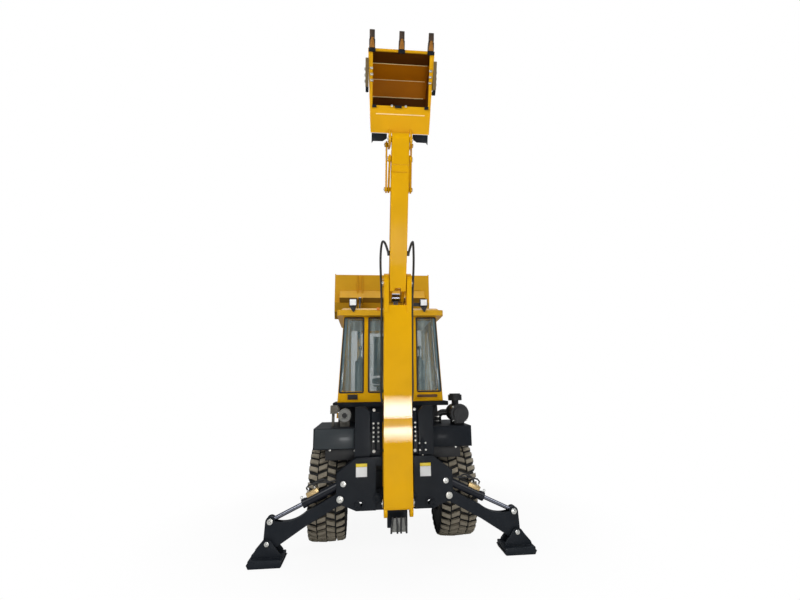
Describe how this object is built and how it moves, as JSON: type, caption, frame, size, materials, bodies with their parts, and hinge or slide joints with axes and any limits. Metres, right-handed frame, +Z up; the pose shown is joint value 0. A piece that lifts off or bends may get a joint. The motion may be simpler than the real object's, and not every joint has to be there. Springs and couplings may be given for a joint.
{
  "type": "backhoe loader",
  "caption": "Articulated backhoe loader with cab, raised front bucket, slewing digging arm held upright and two stabilisers on the ground.",
  "frame": {"origin": "on the ground at the middle of the machine's bounding box", "axes": "+Y towards the loader bucket, +X to the machine's right-hand side, +Z up"},
  "size_m": [2.974, 5.9368, 5.0525],
  "materials": {
    "tyre": "matt moulded rubber, dusty",
    "rim_paint": "satin paint",
    "glass": "tinted cab glass",
    "yellow_paint": "semi-gloss paint",
    "ram_paint": "semi-gloss paint",
    "chrome_rod": "hard chrome, polished",
    "tooth_steel": "bare forged steel",
    "seat_fabric": "woven seat cover",
    "black_plastic": "moulded plastic",
    "bare_steel": "heat-stained steel",
    "engine_iron": "painted casting",
    "roof_paint": "semi-gloss paint",
    "frame_paint": "satin paint",
    "hose_rubber": "matt rubber cover"
  },
  "bodies": {
    "chassis": {"rear_frame": "frame_paint", "rear_axle": "frame_paint", "powertrain": "engine_iron", "side_covers": "yellow_paint", "rear_fenders": "frame_paint", "cab_base": "frame_paint", "cab_shell": "yellow_paint", "cab_roof": "roof_paint", "cab_glass": "glass", "seat_base": "black_plastic", "seat_pads": "seat_fabric", "controls": "black_plastic", "exhaust": "bare_steel", "air_cleaner": "black_plastic", "work_lamps": "black_plastic", "backhoe_frame": "frame_paint"},
    "front": {"front_frame": "frame_paint", "front_axle": "frame_paint"},
    "door_left": {"door_left": "yellow_paint", "door_glass_left": "glass"},
    "door_right": {"door_right": "yellow_paint", "door_glass_right": "glass"},
    "arms": {"loader_arms": "yellow_paint"},
    "front_bucket": {"loader_bucket": "yellow_paint"},
    "lift_barrels": {"lift_ram_barrels": "ram_paint"},
    "lift_rods": {"lift_ram_rods": "chrome_rod"},
    "tilt_barrels": {"tilt_ram_barrels": "ram_paint"},
    "tilt_rods": {"tilt_ram_rods": "chrome_rod"},
    "swing_post": {"swing_post": "frame_paint"},
    "boom": {"boom": "yellow_paint", "boom_hoses": "hose_rubber"},
    "boom_barrel": {"boom_ram_barrel": "ram_paint"},
    "boom_rod": {"boom_ram_rod": "chrome_rod"},
    "dipper": {"dipper": "yellow_paint"},
    "dipper_barrel": {"dipper_ram_barrel": "ram_paint"},
    "dipper_rod": {"dipper_ram_rod": "chrome_rod"},
    "dig_bucket": {"dig_bucket": "yellow_paint", "bucket_teeth": "tooth_steel"},
    "levers": {"tipping_levers": "yellow_paint"},
    "link": {"bucket_link": "yellow_paint"},
    "bucket_barrel": {"bucket_ram_barrel": "ram_paint"},
    "bucket_rod": {"bucket_ram_rod": "chrome_rod"},
    "wheel_rear_left": {"tyre_rear_left": "tyre", "rim_rear_left": "rim_paint"},
    "wheel_rear_right": {"tyre_rear_right": "tyre", "rim_rear_right": "rim_paint"},
    "wheel_front_left": {"tyre_front_left": "tyre", "rim_front_left": "rim_paint"},
    "wheel_front_right": {"tyre_front_right": "tyre", "rim_front_right": "rim_paint"},
    "leg_left": {"stabiliser_leg_left": "frame_paint"},
    "pad_left": {"stabiliser_pad_left": "frame_paint"},
    "leg_left_barrel": {"stabiliser_barrel_left": "ram_paint"},
    "leg_left_rod": {"stabiliser_rod_left": "chrome_rod"},
    "leg_right": {"stabiliser_leg_right": "frame_paint"},
    "pad_right": {"stabiliser_pad_right": "frame_paint"},
    "leg_right_barrel": {"stabiliser_barrel_right": "ram_paint"},
    "leg_right_rod": {"stabiliser_rod_right": "chrome_rod"}
  },
  "joints": [
    {"name": "wheel_rear_left_spin", "type": "hinge", "parent": "chassis", "child": "wheel_rear_left", "pos_m": [-0.74, -0.744, 0.5375], "axis": [1, 0, 0], "continuous": true},
    {"name": "wheel_rear_right_spin", "type": "hinge", "parent": "chassis", "child": "wheel_rear_right", "pos_m": [0.74, -0.744, 0.5375], "axis": [1, 0, 0], "continuous": true},
    {"name": "wheel_front_left_spin", "type": "hinge", "parent": "front", "child": "wheel_front_left", "pos_m": [-0.74, 1.506, 0.5375], "axis": [1, 0, 0], "continuous": true},
    {"name": "wheel_front_right_spin", "type": "hinge", "parent": "front", "child": "wheel_front_right", "pos_m": [0.74, 1.506, 0.5375], "axis": [1, 0, 0], "continuous": true},
    {"name": "steer", "type": "hinge", "parent": "chassis", "child": "front", "pos_m": [0, 0.381, 0.605], "axis": [0, 0, 1], "range_deg": [-35, 35]},
    {"name": "door_left_swing", "type": "hinge", "parent": "chassis", "child": "door_left", "pos_m": [-0.6705, -0.138, 1.9], "axis": [0.0569, 0, 0.9984], "range_deg": [0, 80]},
    {"name": "door_right_swing", "type": "hinge", "parent": "chassis", "child": "door_right", "pos_m": [0.6705, -0.138, 1.9], "axis": [0.0569, 0, -0.9984], "range_deg": [0, 80]},
    {"name": "arms_lower", "type": "hinge", "parent": "front", "child": "arms", "pos_m": [0, 0.956, 1.45], "axis": [-1, 0, 0], "range_deg": [0, 98]},
    {"name": "lift_barrel_turn", "type": "hinge", "parent": "front", "child": "lift_barrels", "pos_m": [0, 0.696, 0.54], "axis": [1, 0, 0], "range_deg": [-17.69, 0]},
    {"name": "lift_rod_slide", "type": "slide", "parent": "lift_barrels", "child": "lift_rods", "axis": [0, 0.4393, 0.8983], "range_m": [-0.55629, 0]},
    {"name": "bucket_tilt", "type": "hinge", "parent": "arms", "child": "front_bucket", "pos_m": [0, 1.91842, 3.26004], "axis": [1, 0, 0], "range_deg": [-60, 90]},
    {"name": "tilt_barrel_turn", "type": "hinge", "parent": "arms", "child": "tilt_barrels", "pos_m": [0, 1.4104, 2.62411], "axis": [1, 0, 0], "range_deg": [-1.94, 1.46]},
    {"name": "tilt_rod_slide", "type": "slide", "parent": "tilt_barrels", "child": "tilt_rods", "axis": [0, 0.4641, 0.8858], "range_m": [-0.20416, 0.13677]},
    {"name": "slew", "type": "hinge", "parent": "chassis", "child": "swing_post", "pos_m": [0, -1.644, 0.59], "axis": [0, 0, 1], "range_deg": [-90, 90]},
    {"name": "boom_lower", "type": "hinge", "parent": "swing_post", "child": "boom", "pos_m": [0, -1.904, 0.64], "axis": [1, 0, 0], "range_deg": [0, 100]},
    {"name": "boom_barrel_turn", "type": "hinge", "parent": "swing_post", "child": "boom_barrel", "pos_m": [0, -1.704, 0.96], "axis": [1, 0, 0], "range_deg": [0, 105.55]},
    {"name": "boom_rod_slide", "type": "slide", "parent": "boom_barrel", "child": "boom_rod", "axis": [0, 0.0772, 0.997], "range_m": [0, 0.5721]},
    {"name": "dipper_crowd", "type": "hinge", "parent": "boom", "child": "dipper", "pos_m": [0, -2.044, 2.795], "axis": [1, 0, 0], "range_deg": [0, 110]},
    {"name": "dipper_barrel_turn", "type": "hinge", "parent": "boom", "child": "dipper_barrel", "pos_m": [0, -1.669, 2.05], "axis": [1, 0, 0], "range_deg": [0, 10.48]},
    {"name": "dipper_rod_slide", "type": "slide", "parent": "dipper_barrel", "child": "dipper_rod", "axis": [0, -0.1702, 0.9854], "range_m": [0, 0.44151]},
    {"name": "bucket_curl", "type": "hinge", "parent": "dipper", "child": "dig_bucket", "pos_m": [0, -2.62335, 4.10238], "axis": [1, 0, 0], "range_deg": [0, 150]},
    {"name": "lever_turn", "type": "hinge", "parent": "dipper", "child": "levers", "pos_m": [0, -2.54759, 3.93142], "axis": [1, 0, 0], "range_deg": [0, 98.76]},
    {"name": "link_turn", "type": "hinge", "parent": "levers", "child": "link", "pos_m": [0, -2.29377, 3.72888], "axis": [1, 0, 0], "range_deg": [-17.66, 0]},
    {"name": "bucket_barrel_turn", "type": "hinge", "parent": "dipper", "child": "bucket_barrel", "pos_m": [0, -1.99194, 3.04777], "axis": [1, 0, 0], "range_deg": [-5.8, 0]},
    {"name": "bucket_rod_slide", "type": "slide", "parent": "bucket_barrel", "child": "bucket_rod", "axis": [0, -0.4051, 0.9143], "range_m": [0, 0.48505]},
    {"name": "leg_left_fold", "type": "hinge", "parent": "chassis", "child": "leg_left", "pos_m": [-0.582, -1.39, 0.592], "axis": [0, 1, 0], "range_deg": [0, 85]},
    {"name": "pad_left_tilt", "type": "hinge", "parent": "leg_left", "child": "pad_left", "pos_m": [-1.31, -1.39, 0.2], "axis": [0, 1, 0], "range_deg": [-25, 25]},
    {"name": "leg_left_barrel_turn", "type": "hinge", "parent": "chassis", "child": "leg_left_barrel", "pos_m": [-0.55, -1.39, 0.742], "axis": [0, 1, 0], "range_deg": [0, 87.44]},
    {"name": "leg_left_rod_slide", "type": "slide", "parent": "leg_left_barrel", "child": "leg_left_rod", "axis": [-0.9084, 0, -0.4181], "range_m": [-0.20785, 0]},
    {"name": "leg_right_fold", "type": "hinge", "parent": "chassis", "child": "leg_right", "pos_m": [0.582, -1.39, 0.592], "axis": [0, -1, 0], "range_deg": [0, 85]},
    {"name": "pad_right_tilt", "type": "hinge", "parent": "leg_right", "child": "pad_right", "pos_m": [1.31, -1.39, 0.2], "axis": [0, -1, 0], "range_deg": [-25, 25]},
    {"name": "leg_right_barrel_turn", "type": "hinge", "parent": "chassis", "child": "leg_right_barrel", "pos_m": [0.55, -1.39, 0.742], "axis": [0, -1, 0], "range_deg": [0, 87.44]},
    {"name": "leg_right_rod_slide", "type": "slide", "parent": "leg_right_barrel", "child": "leg_right_rod", "axis": [0.9084, 0, -0.4181], "range_m": [-0.20785, 0]}
  ],
  "couplings": [
    {"joint": "lift_barrel_turn", "follows": "arms_lower", "ratio": -0.1754},
    {"joint": "lift_rod_slide", "follows": "arms_lower", "m_per_rad": -0.32406},
    {"joint": "tilt_barrel_turn", "follows": "bucket_tilt", "ratio": -0.016038},
    {"joint": "tilt_rod_slide", "follows": "bucket_tilt", "m_per_rad": -0.1287},
    {"joint": "boom_barrel_turn", "follows": "boom_lower", "ratio": 1.0505},
    {"joint": "boom_rod_slide", "follows": "boom_lower", "m_per_rad": 0.32664},
    {"joint": "dipper_barrel_turn", "follows": "dipper_crowd", "ratio": 0.090684},
    {"joint": "dipper_rod_slide", "follows": "dipper_crowd", "m_per_rad": 0.22893},
    {"joint": "lever_turn", "follows": "bucket_curl", "ratio": 0.65504},
    {"joint": "link_turn", "follows": "bucket_curl", "ratio": -0.11442},
    {"joint": "bucket_barrel_turn", "follows": "bucket_curl", "ratio": -0.035346},
    {"joint": "bucket_rod_slide", "follows": "bucket_curl", "m_per_rad": 0.18451},
    {"joint": "leg_left_barrel_turn", "follows": "leg_left_fold", "ratio": 1.0228},
    {"joint": "leg_left_rod_slide", "follows": "leg_left_fold", "m_per_rad": -0.13875},
    {"joint": "leg_right_barrel_turn", "follows": "leg_right_fold", "ratio": 1.0228},
    {"joint": "leg_right_rod_slide", "follows": "leg_right_fold", "m_per_rad": -0.13875}
  ]
}
